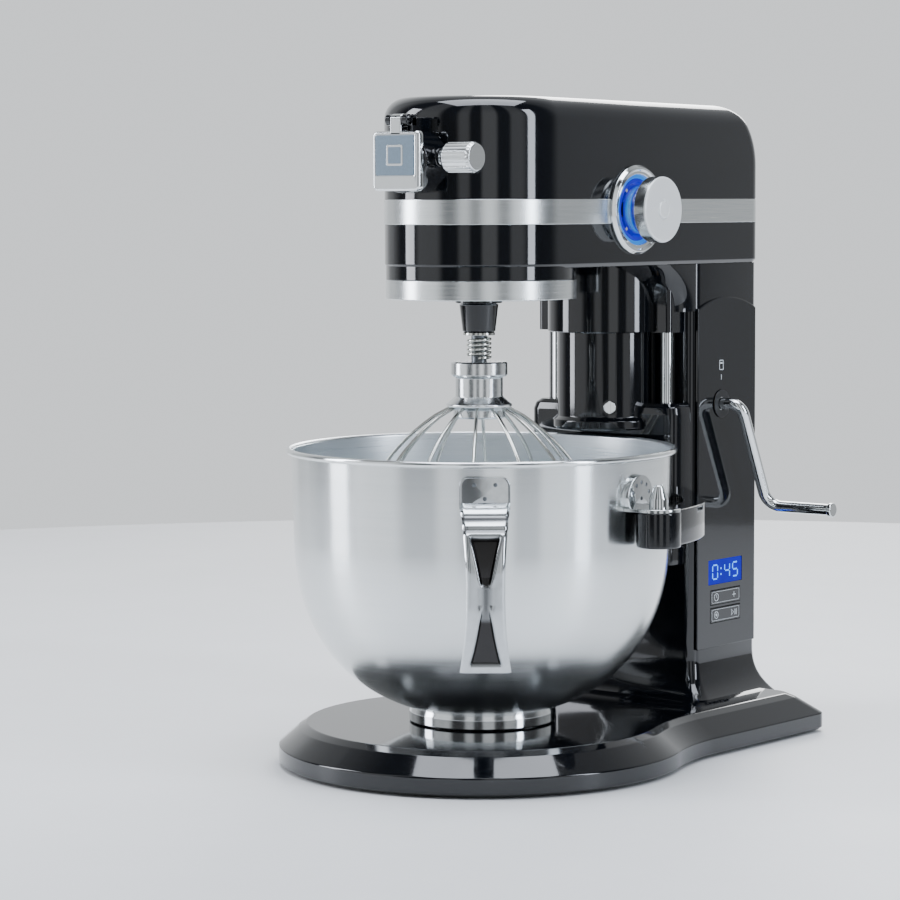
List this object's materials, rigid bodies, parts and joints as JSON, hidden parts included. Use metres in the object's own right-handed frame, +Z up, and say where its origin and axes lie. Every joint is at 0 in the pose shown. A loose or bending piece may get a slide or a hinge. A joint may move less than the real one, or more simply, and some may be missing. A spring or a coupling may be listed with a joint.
{
  "type": "stand mixer",
  "caption": "Bowl-lift stand mixer with a wire whisk, steel bowl on a yoke, lift lever, speed dial, timer panel and an attachment hub.",
  "frame": {"origin": "on the counter, under the middle of the machine's bounding box with the bowl lowered", "axes": "+Z up, -Y towards the whisk end, +X towards the lift lever and the speed dial"},
  "size_m": [0.307, 0.3746, 0.4329],
  "materials": {
    "gloss_black": "piano-black gloss enamel",
    "soft_black": "satin black moulding",
    "brushed_band": "horizontally brushed",
    "bowl_steel": "polished stainless",
    "chrome": "polished",
    "brushed_aluminium": "turned and brushed",
    "gear_steel": "machined",
    "bronze": "sintered bronze",
    "rubber": "matt",
    "inset_blue_grey": "satin blue-grey enamel",
    "display": "lit blue display",
    "light_blue": "lit light guide",
    "circuit": "green laminate"
  },
  "bodies": {
    "stand": {"base_casting": "gloss_black", "base_plate": "gear_steel", "rubber_feet": "rubber", "base_fasteners": "gear_steel", "column_casting": "gloss_black", "control_panel": "gloss_black", "left_side_cover": "gloss_black", "display_module": "display", "control_board": "circuit", "cord_gland": "rubber", "guide_rails": "chrome", "lever_bush": "bronze", "head_casting": "gloss_black", "head_top_cover": "gloss_black", "upper_trim_band": "brushed_band", "lower_trim_ring": "brushed_band", "ring_gear": "gear_steel", "carrier_bearing": "bronze", "gear_frame": "brushed_aluminium", "motor_can": "gear_steel", "hub_housing": "gloss_black", "hub_bush": "bronze", "hub_hinge_pin": "chrome", "knob_bezel": "chrome", "light_ring": "light_blue", "speed_encoder": "soft_black"},
    "bowl_carriage": {"lift_carriage": "gloss_black", "carriage_bushes": "bronze", "lift_rack": "gear_steel", "height_screw": "chrome", "bowl_pins": "chrome", "bowl": "bowl_steel", "bowl_foot": "bowl_steel", "bowl_handle": "bowl_steel", "bowl_lugs": "bowl_steel"},
    "lever": {"lever_rod": "chrome", "lever_end_cap": "chrome", "lift_pinion": "gear_steel"},
    "planet_carrier": {"carrier_drum": "soft_black", "carrier_shaft": "gear_steel", "crown_wheel": "gear_steel", "tool_bushes": "bronze"},
    "whisk": {"tool_shaft": "gear_steel", "planet_pinion": "gear_steel", "tool_socket": "soft_black", "tool_spring": "chrome", "whisk_collar": "brushed_aluminium", "whisk_wires": "chrome"},
    "gear_shaft": {"drive_shaft": "gear_steel", "reduction_wheel": "bronze"},
    "armature": {"motor_armature": "bronze", "cooling_fan": "soft_black"},
    "hub_drive": {"hub_shaft": "gear_steel"},
    "hub_door": {"hub_cover": "chrome", "hub_cover_inset": "inset_blue_grey"},
    "clamp_knob": {"hub_clamp_knob": "brushed_aluminium"},
    "speed_dial": {"speed_knob": "brushed_aluminium", "knob_cap": "brushed_aluminium"},
    "timer_rocker": {"timer_key": "gloss_black"},
    "start_rocker": {"start_key": "gloss_black"}
  },
  "joints": [
    {"name": "bowl_lift", "type": "slide", "parent": "stand", "child": "bowl_carriage", "axis": [0, 0, 1], "range_m": [0, 0.043]},
    {"name": "lift_lever", "type": "hinge", "parent": "stand", "child": "lever", "pos_m": [0, 0.13425, 0.2275], "axis": [1, 0, 0], "range_deg": [0, 113]},
    {"name": "carrier_spin", "type": "hinge", "parent": "stand", "child": "planet_carrier", "pos_m": [0, -0.05375, 0.3335], "axis": [0, 0, 1], "continuous": true},
    {"name": "whisk_spin", "type": "hinge", "parent": "planet_carrier", "child": "whisk", "pos_m": [0.01342, -0.07365, 0.3035], "axis": [0, 0, 1], "continuous": true},
    {"name": "gear_shaft_spin", "type": "hinge", "parent": "stand", "child": "gear_shaft", "pos_m": [0, 0.02625, 0.3915], "axis": [0, 1, 0], "continuous": true},
    {"name": "motor_spin", "type": "hinge", "parent": "stand", "child": "armature", "pos_m": [-0.02184, 0.08625, 0.37563], "axis": [0, 1, 0], "continuous": true},
    {"name": "hub_spin", "type": "hinge", "parent": "stand", "child": "hub_drive", "pos_m": [0, -0.10375, 0.3915], "axis": [0, 1, 0], "continuous": true},
    {"name": "hub_cover_hinge", "type": "hinge", "parent": "stand", "child": "hub_door", "pos_m": [0, -0.13775, 0.4172], "axis": [-1, 0, 0], "range_deg": [0, 110]},
    {"name": "clamp_knob_turn", "type": "hinge", "parent": "stand", "child": "clamp_knob", "pos_m": [0.03, -0.12375, 0.3935], "axis": [1, 0, 0], "range_deg": [0, 720]},
    {"name": "speed_dial_turn", "type": "hinge", "parent": "stand", "child": "speed_dial", "pos_m": [0.0625, 0.03125, 0.3605], "axis": [1, 0, 0], "range_deg": [0, 270]},
    {"name": "timer_key_rock", "type": "hinge", "parent": "stand", "child": "timer_rocker", "pos_m": [0.0594, 0.14025, 0.094], "axis": [0, 0, 1], "range_deg": [-2.5, 2.5], "stiffness_Nm_per_rad": 0.4},
    {"name": "start_key_rock", "type": "hinge", "parent": "stand", "child": "start_rocker", "pos_m": [0.0594, 0.14025, 0.0817], "axis": [0, 0, 1], "range_deg": [-2.5, 2.5], "stiffness_Nm_per_rad": 0.4}
  ],
  "couplings": [
    {"joint": "lift_lever", "follows": "bowl_lift", "rad_per_m": 45.455},
    {"joint": "whisk_spin", "follows": "carrier_spin", "ratio": -2.6},
    {"joint": "gear_shaft_spin", "follows": "carrier_spin", "ratio": 3},
    {"joint": "motor_spin", "follows": "carrier_spin", "ratio": -10.5},
    {"joint": "hub_spin", "follows": "carrier_spin", "ratio": -3}
  ]
}
